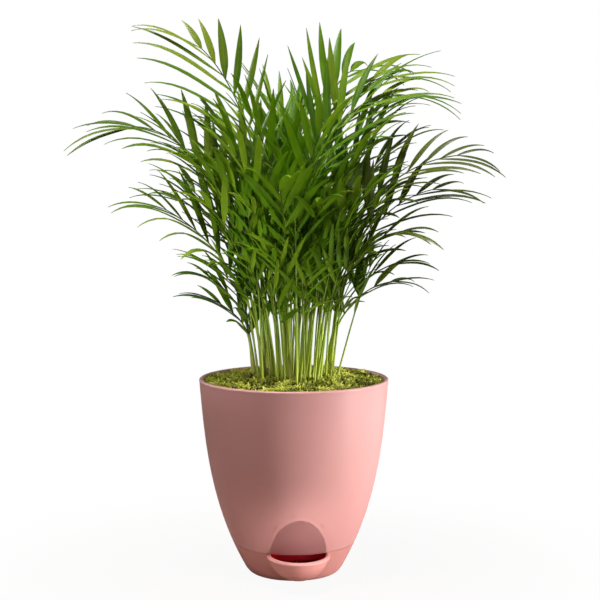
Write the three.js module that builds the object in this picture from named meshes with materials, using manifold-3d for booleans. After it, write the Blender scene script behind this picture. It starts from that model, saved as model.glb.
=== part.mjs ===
// A clump of young feather palms in a self-watering planter.
// The planter has two halves: an upper shell that holds the soil, and a shallow tray under it that holds
// the water. The tray has a half-round filling scoop at the front, and the shell has a hollow above it.
// Millimetres, +Z up, the scoop towards -Y. The origin is the middle of the tray's flat underside.

import * as THREE from 'three';
import { mergeVertices } from 'three/addons/utils/BufferGeometryUtils.js';
import Module from 'manifold-3d';

const wasm = await Module();
wasm.setup();

// ---- driving dimensions ----

const RIM_RADIUS = 100.5; // outside, at the top
const POT_HEIGHT = 209; // floor to rim
const LINEAR_TAPER = 0.17; // share of the radius lost evenly on the way down
const CUBIC_TAPER = 0.354; // share lost towards the foot, as the wall curves in
const WALL = 3; // of the shell
const RIM_WALL = 4.6; // the shell's wall at the rim
const RIM_BAND = 16; // height over which it thins to WALL
const RIM_ROUND = [[0, 3], [0.4, 1.4], [0.9, 0.6], [1.7, 0.1]]; // [inset, drop] of its outer edge
const RIM_BEVEL = 1.2; // of its inner edge
const SEAM = 33.5; // underside of the shell, where it sits on the tray
const GAP = 0.3; // between pieces that touch

const FOOT_RADIUS = 41; // flat part of the tray's underside
const FOOT_RISE = 8; // height over which the base turns into the side
const FOOT_CURVE = [[0.35, 0.1], [0.62, 0.32], [0.83, 0.65]]; // [share of the way out, share of the rise]
const TRAY_WALL = 2.6;
const SPIGOT_DEPTH = 7.5; // the ring under the shell that centres it in the tray
const SPIGOT_WALL = 2.4;
const SPIGOT_PLAY = 0.5; // between the ring and the tray
const WELL_BOTTOM = 7; // the soil foot that stands in the water
const WELL_FOOT_RADIUS = 16;
const WELL_TOP_RADIUS = 21;
const WELL_WALL = 2.5;
const WELL_SLOT = { width: 3, from: 12, to: 28 };
const DRAIN_HOLES = { count: 6, ring: 34, radius: 2.5 };

// The hollow in the shell above the scoop, cut by a large ball drawn out along the shell's slope: its half
// width at the seam, its length up the shell, how deep it is below a flat cut, how far that cut is from the
// pot's axis at the seam, and its tilt from upright. The cutting solid reaches past it by the spread.
const NICHE = { halfWidth: 29.3, length: 45, sink: 3, chord: 58.1, tilt: 28.6, spread: 20, rings: 5 };
const TAB = { width: 6, drop: 3, thickness: 2 }; // hangs from the hollow's lower edge
const SCOOP = { radius: 31, reach: 1.18, depth: 27, centre: 60, bead: 1.8, sides: 32 }; // half an ellipsoid
const SCOOP_TURNS = [90, 70, 52, 34, 15]; // degrees below level of its stations
const SCOOP_LIP = [[0.8, 4.4], [1, 2.6], [0.7, 1]]; // [share of the bead, how far below the seam]

const MOSS_EDGE = 203.5; // height of the moss along the wall
const MOSS_MOUND = 4.5; // how much higher it is in the middle
const MOSS_BUMP = 1.6; // height of its lumps
const MOSS_UNDERSIDE = 196;
const SOCKET_FLOOR = 168; // how far down the stems stand in the soil
const STEM_PLAY = 0.45; // round them in their holes
const STEM_FOOT = 209; // where the stems come out of the moss and start to lean

const STEM_RADIUS = 3.2; // of a leafy stem at the soil
const SHEATH_STEP = 0.16; // share of the sheath by which each next frond leaves it lower
const SHEATH_SINK = 8; // how far inside the sheath a stalk starts
const STALK_RADIUS = 1.7; // of a frond's stalk where it leaves the stem
const TIP_RADIUS = 0.75; // of the rib at the frond's end
const RIB_SHAPE = [[0.95, -0.5], [0, 1], [-0.95, -0.5]]; // its section, flat below, in shares of its radius
const TURN = 55; // length in which a stalk turns away from its stem
const PAIR_SPACING = 31; // between the pairs of leaflets along a rib
const ROOT_LENGTH = 4; // of rib that a leaflet grows from
const LEAFLET_WIDTH = 9.5;
const LEAFLET_RIDGE = 1.4; // thickness over the midrib
const LEAFLET_OUTLINE = [[0.35, 1], [0.72, 0.74], [1, 0]]; // [share of its length, share of its width]
const LEAFLET_OPEN = [54, 20]; // degrees between it and the rib, at the foot and the tip of the frond
const LEAFLET_RAISE = [34, 8]; // degrees above level, at the same two places
const LEAFLET_DROOP = [0.5, 0.9]; // least and most
const ROLL_LEFT = [1, 0.7]; // share of a frond's roll that its leaflets have at its foot and tip
const LEAFLET_LENGTHS = [0.93, 0.73]; // at a frond's foot and tip, in shares of its leaflet length
const LEAFLET_SWELL = 0.37; // and how much longer they are halfway
const LOWER_LONGER = [0.0013, 0.0042]; // for each degree of roll, at the same two places
const FACE_UP = 1.6; // how strongly its upper side turns to the light
const CLEARANCE = 0.35; // kept round each leaflet
const PROBE_STARTS = [0.6, 4]; // how far from the rib a leaflet is tested against other fronds, and its own
const PROBE_FOOT = [[-3.2, -1.1], [0, 2.2], [3.2, -1.1]];
const SWINGS = [0, 8, -8, 16, -16, 25, -25]; // degrees a leaflet may be bent to clear another
const SHRINKS = [1, 0.88, 0.75, 0.6]; // and how it may be shortened

const ROUND = 36; // sides of the large round pieces
const RIB_STEPS = 48; // points worked out along a frond's path
const STALK_STATIONS = [0.3, 0.6, 0.95]; // sections of a stalk below its leaflets

// Each leafy stem: where it stands, which way it leans (degrees anticlockwise from +X, and from upright),
// how tall its sheath is, and its fronds. A frond is [heading, lean at the soil, lean at the tip, length
// from the soil to the tip, bend, leafed share, leaflet length, roll, and how much longer the leaflets are at
// its very tip, where they are]. A high bend keeps the arch for the end.
const STEMS = [
  { at: [-41, 26], lean: [175, 6], sheath: 24, fronds: [
    [175, 8, 58, 88, 1, 0.5, 64, 40],
    [188, 6.4, 58, 117, 1.7, 0.52, 64, 45],
    [142, 11, 50, 215, 2.2, 0.55, 84, 20],
  ] },
  { at: [-30, 8], lean: [200, 10], sheath: 32, fronds: [
    [200, 15.7, 63, 219, 1.6, 0.6, 92, 55],
    [165, 11, 44, 262, 2.5, 0.52, 92, 20],
    [228, 12, 56, 205, 2.2, 0.55, 80, -10],
  ] },
  { at: [-19, 11], lean: [185, 10], sheath: 38, fronds: [
    [185, 17.3, 90, 321, 4.1, 0.52, 88, 65, 0.25],
    [130, 8.5, 40, 256, 3, 0.52, 92, 10],
    [212, 10.5, 58, 246, 2.6, 0.55, 88, 15],
  ] },
  { at: [-8, -4], lean: [155, 6], sheath: 44, fronds: [
    [155, 7.5, 50, 369, 3.8, 0.44, 93, 75],
    [-152, 8.5, 52, 236, 2.4, 0.55, 84, 0],
    [100, 6.5, 30, 272, 3, 0.52, 92, 0],
  ] },
  { at: [-6, -19], lean: [-110, 5], sheath: 30, fronds: [
    [-100, 9, 60, 226, 2.4, 0.52, 78, 0],
    [-134, 10, 50, 256, 2.4, 0.55, 88, 15],
    [-68, 8, 40, 270, 2.6, 0.55, 88, -10],
  ] },
  { at: [3, 8], lean: [20, 2], sheath: 44, fronds: [
    [12, 0.5, 89, 349, 3.2, 0.48, 96, -60],
    [95, 5.5, 36, 276, 3, 0.52, 92, 0],
    [-150, 6.5, 34, 282, 3, 0.52, 92, 10],
  ] },
  { at: [11, -6], lean: [50, 3], sheath: 40, fronds: [
    [52, 3.9, 77, 357, 4.5, 0.46, 110, -60],
    [-84, 7.5, 66, 214, 2.2, 0.5, 72, 0],
    [-25, 6.5, 44, 262, 2.6, 0.55, 90, -20],
  ] },
  { at: [26, -5], lean: [-15, 4], sheath: 34, fronds: [
    [-14, 3.7, 86, 303, 1.8, 0.5, 74, -60, 0.1],
    [-58, 8.5, 58, 222, 2.4, 0.55, 80, -10],
    [22, 6.5, 38, 272, 2.6, 0.55, 90, -10],
  ] },
  { at: [37, 14], lean: [12, 8], sheath: 26, fronds: [
    [10, 6, 81, 249, 1.9, 0.52, 82, -55],
    [15, 20, 86, 134, 2, 0.48, 62, -30],
    [54, 11, 52, 222, 2.6, 0.55, 84, 0],
  ] },
  { at: [38, 0], lean: [-25, 6], sheath: 24, fronds: [
    [-30, 6.7, 87, 191, 2.6, 0.5, 76, -45],
    [-14, 4.5, 75, 148, 1.7, 0.52, 72, -35],
    [-58, 10, 52, 200, 2.2, 0.52, 74, 0],
  ] },
  { at: [-25, 31], lean: [145, 7], sheath: 34, fronds: [
    [140, 11, 62, 256, 2.6, 0.52, 88, 10],
    [168, 12, 72, 220, 2.4, 0.52, 82, 15],
    [108, 9, 42, 264, 2.8, 0.52, 90, 0],
  ] },
  { at: [-5, 32], lean: [95, 6], sheath: 38, fronds: [
    [95, 10, 66, 270, 2.4, 0.52, 90, 0],
    [125, 9, 44, 270, 3, 0.52, 90, 10],
    [72, 10, 76, 214, 2.2, 0.52, 78, 0],
  ] },
  { at: [12, 30], lean: [70, 5], sheath: 38, fronds: [
    [68, 9, 60, 264, 2.6, 0.52, 88, 0],
    [42, 10, 70, 248, 2.4, 0.52, 86, -10],
    [105, 8, 32, 274, 3, 0.52, 90, 0],
  ] },
  { at: [26, 24], lean: [20, 4], sheath: 36, fronds: [
    [20, 0.2, 82, 350, 4.5, 0.44, 98, -55],
    [38, 9.5, 72, 230, 2.2, 0.52, 82, -10],
    [-2, 6.5, 54, 262, 2.6, 0.52, 88, -20],
  ] },
  { at: [-7, 19], lean: [170, 4], sheath: 46, fronds: [
    [172, 6.5, 48, 284, 3.4, 0.5, 92, 55],
    [-166, 7.5, 38, 268, 2.8, 0.55, 90, 0],
    [62, 5.5, 40, 290, 3, 0.52, 94, 0],
  ] },
  { at: [17, 13], lean: [30, 3], sheath: 44, fronds: [
    [8, 6.5, 46, 300, 3, 0.5, 98, -15],
    [-42, 6.5, 50, 256, 2.6, 0.55, 90, -15],
    [150, 5.5, 26, 290, 3, 0.52, 94, 10],
  ] },
];
const STUB = { at: [-27, -4], radius: 2.4, height: 12, lean: [250, 6] }; // a stem that died back

// ---- materials ----

const potPlastic = new THREE.MeshStandardMaterial({ color: 0xe0a09a, roughness: 0.55, metalness: 0 });
const trayPlastic = new THREE.MeshStandardMaterial({ color: 0xdb9993, roughness: 0.5, metalness: 0 });
const soilMix = new THREE.MeshStandardMaterial({ color: 0x3b2a1d, roughness: 1, metalness: 0 });
const mossGreen = new THREE.MeshStandardMaterial({ color: 0x7d8428, roughness: 1, metalness: 0 });
const frondGreen = new THREE.MeshStandardMaterial({ color: 0x4f8a14, roughness: 0.5, metalness: 0 });
const dryStem = new THREE.MeshStandardMaterial({ color: 0x8a6a3c, roughness: 0.9, metalness: 0 });

// ---- solids and meshes ----

const radians = THREE.MathUtils.degToRad;
const mix = THREE.MathUtils.lerp;

// The whole part draws its random numbers here, so it is the same each time.
function seeded(seed) {
  let state = seed;
  return () => {
    state = (state * 1664525 + 1013904223) % 4294967296;
    return state / 4294967296;
  };
}

function solidFrom(geometry) {
  geometry.deleteAttribute('normal');
  geometry.deleteAttribute('uv');
  const merged = mergeVertices(geometry, 1e-4);
  const corners = merged.index.array;
  const kept = [];
  for (let k = 0; k < corners.length; k += 3) {
    const [a, b, c] = [corners[k], corners[k + 1], corners[k + 2]];
    if (a !== b && b !== c && c !== a) kept.push(a, b, c);
  }
  return new wasm.Manifold(new wasm.Mesh({
    numProp: 3,
    vertProperties: merged.attributes.position.array,
    triVerts: new Uint32Array(kept),
  }));
}

function meshFrom(solid, name, material) {
  const { vertProperties, triVerts } = solid.getMesh();
  const geometry = new THREE.BufferGeometry();
  geometry.setAttribute('position', new THREE.BufferAttribute(vertProperties, 3));
  geometry.setIndex(new THREE.BufferAttribute(triVerts, 1));
  geometry.computeVertexNormals();
  const mesh = new THREE.Mesh(geometry, material);
  mesh.name = name;
  return mesh;
}

// Turns [radius, height] pairs, which start and end on the axis, about the upright axis.
function turned(profile, sides) {
  const points = profile.map(([radius, height]) => new THREE.Vector2(radius, height));
  return new THREE.LatheGeometry(points, sides).rotateX(Math.PI / 2);
}

function revolved(profile) {
  return solidFrom(turned(profile, ROUND));
}

function box(width, depth, low, high, x = 0, y = 0) {
  const geometry = new THREE.BoxGeometry(width, depth, high - low);
  geometry.translate(x, y, (low + high) / 2);
  return solidFrom(geometry);
}

// A closed solid through a row of sections, each a list of as many points, anticlockwise seen from the
// end. A last section of one point closes it to a tip.
function lofted(sections) {
  const sides = sections[0].length;
  const places = sections.flat().flatMap((p) => [p.x, p.y, p.z]);
  const corners = [];
  for (let k = 1; k < sides - 1; k += 1) corners.push(0, k + 1, k);
  for (let s = 0; s + 1 < sections.length; s += 1) {
    const low = s * sides;
    const high = low + sides;
    const pointed = sections[s + 1].length === 1;
    for (let k = 0; k < sides; k += 1) {
      const next = (k + 1) % sides;
      if (pointed) {
        corners.push(low + k, low + next, high);
      } else {
        corners.push(low + k, low + next, high + next, low + k, high + next, high + k);
      }
    }
    if (!pointed && s + 2 === sections.length) {
      for (let k = 1; k < sides - 1; k += 1) corners.push(high, high + k, high + k + 1);
    }
  }
  const geometry = new THREE.BufferGeometry();
  geometry.setAttribute('position', new THREE.Float32BufferAttribute(places, 3));
  geometry.setIndex(corners);
  return solidFrom(geometry);
}

// ---- the planter ----

// The outside of the whole pot, and the inside of its shell.
function outside(height) {
  const down = 1 - height / POT_HEIGHT;
  return RIM_RADIUS * (1 - LINEAR_TAPER * down - CUBIC_TAPER * down ** 3);
}

function inside(height) {
  const below = Math.min((POT_HEIGHT - height) / RIM_BAND, 1);
  return outside(height) - mix(RIM_WALL, WALL, below);
}

function heights(low, high, steps) {
  return Array.from({ length: steps + 1 }, (_, k) => mix(low, high, k / steps));
}

// What the shell holds: its room down to the floor and on down into the well, drawn in by a gap.
function room(gap = 0) {
  const floor = SEAM + WALL;
  const top = POT_HEIGHT + 1;
  const stations = [...heights(floor, POT_HEIGHT - RIM_BAND, 5), top];
  return revolved([
    [0, WELL_BOTTOM + WELL_WALL + gap],
    [WELL_FOOT_RADIUS - WELL_WALL - gap, WELL_BOTTOM + WELL_WALL + gap],
    [WELL_TOP_RADIUS - WELL_WALL - gap, floor + gap],
    ...stations.map((z) => [inside(z) - gap, z + (z === floor ? gap : 0)]),
    [0, top],
  ]).subtract(nicheBall(WALL + gap));
}

function nicheBall(thicker = 0) {
  const { halfWidth, length, sink, chord, tilt, spread, rings } = NICHE;
  const radius = (halfWidth ** 2 + sink ** 2) / (2 * sink);
  const grown = radius + thicker;
  const turns = heights(radians(spread), 0, rings);
  const outer = grown * (Math.cos(turns[0]) - Math.sin(turns[0]));
  const geometry = turned([
    [0, outer],
    [grown * Math.sin(turns[0]), outer],
    ...turns.map((turn) => [grown * Math.sin(turn), grown * Math.cos(turn)]),
  ], ROUND);
  geometry.scale(1, ((radius * length) / halfWidth + thicker) / grown, 1);
  geometry.rotateX(radians(tilt - 90));
  const away = radius - sink;
  geometry.translate(0, -chord - away * Math.cos(radians(tilt)), SEAM - away * Math.sin(radians(tilt)));
  return solidFrom(geometry);
}

function potShell() {
  const spigot = outside(SEAM - SPIGOT_DEPTH) - TRAY_WALL - SPIGOT_PLAY;
  const side = heights(SEAM, POT_HEIGHT - RIM_ROUND[0][1], 8).map((z) => [outside(z), z]);
  let shell = revolved([
    [0, WELL_BOTTOM],
    [WELL_FOOT_RADIUS, WELL_BOTTOM],
    [WELL_TOP_RADIUS, SEAM],
    [spigot - SPIGOT_WALL, SEAM],
    [spigot - SPIGOT_WALL, SEAM - SPIGOT_DEPTH],
    [spigot, SEAM - SPIGOT_DEPTH],
    [spigot, SEAM],
    ...side,
    ...RIM_ROUND.slice(1).map(([inset, drop]) => [RIM_RADIUS - inset, POT_HEIGHT - drop]),
    [RIM_RADIUS - RIM_WALL + RIM_BEVEL, POT_HEIGHT],
    [0, POT_HEIGHT],
  ]);
  shell = shell.subtract(nicheBall()).subtract(room());
  const slotLength = 4 * WELL_TOP_RADIUS;
  shell = shell.subtract(box(WELL_SLOT.width, slotLength, WELL_SLOT.from, WELL_SLOT.to));
  shell = shell.subtract(box(slotLength, WELL_SLOT.width, WELL_SLOT.from, WELL_SLOT.to));
  for (let k = 0; k < DRAIN_HOLES.count; k += 1) {
    const turn = ((k + 0.5) * 2 * Math.PI) / DRAIN_HOLES.count;
    const [x, y] = [DRAIN_HOLES.ring * Math.sin(turn), DRAIN_HOLES.ring * Math.cos(turn)];
    const hole = new THREE.CylinderGeometry(DRAIN_HOLES.radius, DRAIN_HOLES.radius, 4 * WALL, 8);
    hole.rotateX(Math.PI / 2);
    hole.translate(x, y, SEAM + WALL / 2);
    shell = shell.subtract(solidFrom(hole));
  }
  const tabPlace = TAB.thickness / 2 + NICHE.sink / Math.cos(radians(NICHE.tilt)) - NICHE.chord;
  return shell.add(box(TAB.width, TAB.thickness, SEAM - TAB.drop, SEAM + WALL - 1, 0, tabPlace));
}

// The tray's outside, drawn in by a wall for its inside, up to a height.
function trayBowl(wall, top) {
  const spread = outside(FOOT_RISE) - FOOT_RADIUS;
  return revolved([
    [0, wall],
    [FOOT_RADIUS - wall, wall],
    ...FOOT_CURVE.map(([x, z]) => [FOOT_RADIUS + spread * x - wall, wall + FOOT_RISE * z]),
    ...heights(FOOT_RISE + wall, top, 4).map((z) => [outside(z) - wall, z]),
    [0, top],
  ]);
}

// Turned for the scoop: wider from front to back than across.
function scoopTurned(profile) {
  const geometry = turned(profile, SCOOP.sides);
  geometry.scale(1, SCOOP.reach, 1);
  geometry.translate(0, -SCOOP.centre, 0);
  return solidFrom(geometry);
}

// The scoop's bowl as [radius, height] pairs, from its bottom up.
function scoopCurve(radius, depth) {
  return SCOOP_TURNS.map((turn) => {
    const share = turn === 90 ? 0 : Math.cos(radians(turn));
    return [radius * share, SEAM - depth * Math.sin(radians(turn))];
  });
}

// The scoop's outside, with its bead, and its inside, drawn in by a wall. Both end in upright sides.
function scoopBody(top) {
  const { radius, depth, bead } = SCOOP;
  return scoopTurned([
    ...scoopCurve(radius, depth),
    ...SCOOP_LIP.map(([share, drop]) => [radius + bead * share, SEAM - drop]),
    [radius + bead / 5, top],
    [0, top],
  ]);
}

function scoopHollow(wall, top) {
  const { radius, depth } = SCOOP;
  return scoopTurned([...scoopCurve(radius - wall, depth - wall), [radius - wall, top], [0, top]]);
}

function reservoirTray() {
  const above = SEAM + WALL;
  const body = trayBowl(0, SEAM - GAP).add(scoopBody(SEAM - GAP));
  return body.subtract(trayBowl(TRAY_WALL, above).add(scoopHollow(TRAY_WALL, above)));
}

// ---- soil and moss ----

// Plain upright holes that the stems stand in.
function withSockets(solid) {
  const holes = [...STEMS.map(({ at }) => ({ at, radius: STEM_RADIUS + STEM_PLAY })), STUB];
  return holes.reduce((pierced, { at, radius }) => {
    const room = radius + STEM_PLAY;
    const hole = new THREE.CylinderGeometry(room, room, POT_HEIGHT - SOCKET_FLOOR + MOSS_MOUND, 6);
    hole.rotateX(Math.PI / 2);
    hole.translate(at[0], at[1], (POT_HEIGHT + SOCKET_FLOOR + MOSS_MOUND) / 2);
    return pierced.subtract(solidFrom(hole));
  }, solid);
}

function soil() {
  const above = box(2 * RIM_RADIUS, 2 * RIM_RADIUS, MOSS_UNDERSIDE - GAP, POT_HEIGHT + 10);
  return withSockets(room(GAP).subtract(above));
}

function mossHeight(share, lump) {
  return MOSS_EDGE + MOSS_MOUND * (1 - share ** 2) + MOSS_BUMP * (lump - 0.5) * 2 * (1 - share ** 8);
}

function moss() {
  const random = seeded(7);
  const rings = 6;
  const sides = 28;
  const edge = inside(MOSS_EDGE) - GAP - 0.1;
  const places = [0, 0, mossHeight(0, 0.5)];
  const corners = [];
  for (let ring = 1; ring <= rings; ring += 1) {
    const share = ring / rings;
    for (let k = 0; k < sides; k += 1) {
      const turn = ((k + (ring % 2) / 2) * 2 * Math.PI) / sides;
      places.push(share * edge * Math.cos(turn), share * edge * Math.sin(turn), mossHeight(share, random()));
    }
  }
  const foot = places.length / 3;
  for (let k = 0; k < sides; k += 1) {
    const turn = ((k + (rings % 2) / 2) * 2 * Math.PI) / sides;
    places.push(edge * Math.cos(turn), edge * Math.sin(turn), MOSS_UNDERSIDE);
  }
  places.push(0, 0, MOSS_UNDERSIDE);
  const middle = foot + sides;
  for (let k = 0; k < sides; k += 1) {
    const next = (k + 1) % sides;
    corners.push(0, 1 + k, 1 + next, middle, foot + next, foot + k);
    for (let ring = 1; ring <= rings; ring += 1) {
      const low = 1 + (ring - 1) * sides;
      const high = ring === rings ? foot : low + sides;
      const even = ring % 2 === 0 && ring < rings;
      if (even) {
        corners.push(low + k, high + k, low + next, high + k, high + next, low + next);
      } else {
        corners.push(low + k, high + k, high + next, low + k, high + next, low + next);
      }
    }
  }
  const geometry = new THREE.BufferGeometry();
  geometry.setAttribute('position', new THREE.Float32BufferAttribute(places, 3));
  geometry.setIndex(corners);
  return withSockets(solidFrom(geometry));
}

// ---- palms ----

function direction(heading, lean) {
  const [turn, tilt] = [radians(heading), radians(lean)];
  return new THREE.Vector3(Math.cos(turn) * Math.sin(tilt), Math.sin(turn) * Math.sin(tilt), Math.cos(tilt));
}

function stemBase(stem) {
  return new THREE.Vector3(stem.at[0], stem.at[1], STEM_FOOT);
}

// Where a frond's rib runs: from inside the top of its stem's sheath, turning away from the stem and
// arching over, more and more, to the tip. Level is square to the way the frond heads, and inner is its
// upper side, the one that faced the stem as it grew.
function ribPath(stem, frond, order) {
  const [heading, lean, tipLean, length, bend] = frond;
  const stemWay = direction(...stem.lean);
  const sideways = new THREE.Vector3(-Math.sin(radians(heading)), Math.cos(radians(heading)), 0);
  const from = stem.sheath * (1 - SHEATH_STEP * order) - SHEATH_SINK;
  const step = (length - from) / RIB_STEPS;
  const place = stemBase(stem).addScaledVector(stemWay, from);
  return Array.from({ length: RIB_STEPS + 1 }, (_, k) => {
    const along = from + k * step;
    const leaning = lean + (tipLean - lean) * (along / length) ** bend;
    const turned = THREE.MathUtils.smoothstep(along - from, 0, TURN);
    const way = stemWay.clone().lerp(direction(heading, leaning), turned).normalize();
    const level = sideways.clone().addScaledVector(way, -sideways.dot(way)).normalize();
    const spot = { place: place.clone(), way, level, inner: way.clone().cross(level) };
    place.addScaledVector(way, step);
    return spot;
  });
}

function spotOn(path, share) {
  const at = share * RIB_STEPS;
  const k = Math.min(Math.floor(at), RIB_STEPS - 1);
  const spot = {};
  for (const part of ['place', 'way', 'level', 'inner']) {
    spot[part] = path[k][part].clone().lerp(path[k + 1][part], at - k);
  }
  return spot;
}

function ribSection(path, share, grown = 0) {
  const { place, level, inner } = spotOn(path, share);
  const radius = mix(STALK_RADIUS, TIP_RADIUS, share) + grown;
  return RIB_SHAPE.map(([x, y]) => (
    place.clone().addScaledVector(level, x * radius).addScaledVector(inner, y * radius)
  ));
}

// A ring of points square to a way.
function ringAt(place, way, radius, sides) {
  const across = new THREE.Vector3(0, 1, 0).cross(way).normalize();
  const over = way.clone().cross(across);
  return Array.from({ length: sides }, (_, k) => {
    const turn = (k * 2 * Math.PI) / sides;
    return place.clone()
      .addScaledVector(across, radius * Math.cos(turn))
      .addScaledVector(over, radius * Math.sin(turn));
  });
}

function sheath(stem) {
  const way = direction(...stem.lean);
  const base = stemBase(stem);
  const foot = new THREE.Vector3(stem.at[0], stem.at[1], SOCKET_FLOOR + GAP);
  return lofted([
    ringAt(foot, new THREE.Vector3(0, 0, 1), STEM_RADIUS, 6),
    ringAt(base, way, STEM_RADIUS, 6),
    ringAt(base.clone().addScaledVector(way, stem.sheath), way, STALK_RADIUS * 1.3, 6),
  ]);
}

// The leaflets of a frond stand in opposite pairs along the leafed part of the rib. They are raised into a
// shallow V, which the frond's roll turns about the rib, and are wide open at its foot and nearly in line
// with it at its tip. Those of the rank that the roll turns down are longer.
function leafletsOf(frond, random) {
  const [, , , length, , leafed, size, roll, tail = 0] = frond;
  const pairs = Math.max(3, Math.round((length * leafed) / PAIR_SPACING));
  return Array.from({ length: pairs }, (_, k) => {
    const share = k / (pairs - 1);
    return [1, -1].map((side) => ({
      side,
      open: mix(...LEAFLET_OPEN, share) + 6 * (random() - 0.5),
      raise: mix(...LEAFLET_RAISE, share) - roll * side * mix(...ROLL_LEFT, share),
      length: size * (mix(...LEAFLET_LENGTHS, share) + LEAFLET_SWELL * Math.sin(Math.PI * share))
        * (1 + roll * side * mix(...LOWER_LONGER, share)) * (1 + tail * share ** 4),
      droop: mix(...LEAFLET_DROOP, random()),
    }));
  });
}

// Which way a leaflet points and faces, swung about the rib and shortened to keep it clear.
function leafletPose({ place, way, level, inner }, spec, swing, shrink) {
  const raised = radians(spec.raise + swing);
  const open = radians(spec.open);
  const out = level.clone().multiplyScalar(spec.side * Math.cos(raised)).addScaledVector(inner, Math.sin(raised));
  const heading = way.clone().multiplyScalar(Math.cos(open)).addScaledVector(out, Math.sin(open));
  const face = out.clone().cross(way).multiplyScalar(-spec.side);
  face.z += FACE_UP;
  return { root: place, heading, face: face.normalize(), length: spec.length * shrink, droop: spec.droop };
}

// The sections of a leaflet from beyond its root to its tip: a pointed blade, folded along its midrib, that
// droops as it goes. Each is one edge, the ridge and the other edge, and the last is a point.
function leafletSections({ root, heading, face, length, droop }, grown = 0) {
  const place = root.clone();
  const way = heading.clone();
  let before = 0;
  return LEAFLET_OUTLINE.map(([share, width], k) => {
    way.z -= droop * Math.hypot(way.x, way.y) * k * 0.5;
    way.normalize();
    place.addScaledVector(way, length * (share - before));
    before = share;
    if (width === 0) return [place.clone().addScaledVector(way, grown)];
    const across = way.clone().cross(face).normalize();
    const over = across.clone().cross(way);
    const half = (LEAFLET_WIDTH * width) / 2 + grown;
    const under = place.clone().addScaledVector(over, -grown);
    return [
      under.clone().addScaledVector(across, -half),
      place.clone().addScaledVector(over, LEAFLET_RIDGE * width + grown),
      under.addScaledVector(across, half),
    ];
  });
}

// The leaflet alone, a little fatter, for finding what it would touch.
function leafletProbe(pose, from) {
  const across = pose.heading.clone().cross(pose.face).normalize();
  const over = across.clone().cross(pose.heading);
  const start = pose.root.clone().addScaledVector(pose.heading, from);
  const foot = PROBE_FOOT.map(([x, y]) => (
    start.clone().addScaledVector(across, x).addScaledVector(over, y)
  ));
  return bounded(lofted([foot, ...leafletSections(pose, CLEARANCE)]));
}

function bounded(solid) {
  return { solid, bounds: solid.boundingBox() };
}

function apart(a, b) {
  const meeting = [0, 1, 2].every((k) => a.bounds.min[k] <= b.bounds.max[k] && b.bounds.min[k] <= a.bounds.max[k]);
  return !meeting || a.solid.intersect(b.solid).isEmpty();
}

// Whether a leaflet is clear of all other fronds and stems, and of its own frond's leaflets.
function fits(leaflet, pieces) {
  return pieces.every((piece) => {
    if (piece.frond !== leaflet.frond) return apart(leaflet.whole, piece.whole);
    return !piece.outer || apart(leaflet.outer, piece.outer);
  });
}

// The places of a frond's leaflet pairs, as shares of its path. Each pair grows from a short stretch.
function pairPlaces(frond, path, pairs) {
  const length = path[0].place.distanceTo(path[1].place) * RIB_STEPS;
  const stretch = ROOT_LENGTH / length;
  const first = 1 - (frond[3] * frond[5]) / length;
  return Array.from({ length: pairs }, (_, k) => {
    const start = mix(first, 1 - stretch, k / (pairs - 1));
    return { start, end: start + stretch, middle: start + stretch / 2 };
  });
}

function stalkStations(pairs) {
  return STALK_STATIONS.map((share) => share * pairs[0].start);
}

// A frond as one closed surface: a three-sided rib, with a leaflet grown from its side faces at each pair.
function frondSolid(path, pairs) {
  const places = [];
  const corners = [];
  const add = (points) => points.map((p) => places.push(p.x, p.y, p.z) / 3 - 1);
  // Joins two loops of as many corners. Where one repeats a corner, the face there is a triangle.
  const bridge = (low, high) => low.forEach((corner, k) => {
    const next = (k + 1) % low.length;
    corners.push(corner, low[next], high[next]);
    if (high[k] !== high[next]) corners.push(corner, high[next], high[k]);
  });
  const grow = (root, pose) => {
    let loop = root;
    for (const section of leafletSections(pose)) {
      const ends = add(section);
      const [a, b, c] = ends.length === 1 ? [ends[0], ends[0], ends[0]] : ends;
      bridge(loop, loop.length === 4 ? [a, b, b, c] : [a, b, c]);
      loop = [a, b, c];
    }
  };
  const plain = ([a, b, c, d]) => corners.push(a, b, c, a, c, d);
  let [right, top, left] = add(ribSection(path, 0));
  corners.push(right, left, top);
  const extend = (share, poses = []) => {
    const [farRight, farTop, farLeft] = add(ribSection(path, share));
    const sides = [[right, top, farTop, farRight], [farLeft, farTop, top, left]];
    sides.forEach((root, k) => (poses[k] ? grow(root, poses[k]) : plain(root)));
    plain([left, right, farRight, farLeft]);
    [right, top, left] = [farRight, farTop, farLeft];
  };
  for (const share of stalkStations(pairs)) extend(share);
  for (const { start, end, poses } of pairs) {
    extend(start);
    extend(end, poses);
  }
  corners.push(right, top, left);
  const geometry = new THREE.BufferGeometry();
  geometry.setAttribute('position', new THREE.Float32BufferAttribute(places, 3));
  geometry.setIndex(corners);
  return solidFrom(geometry);
}

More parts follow.
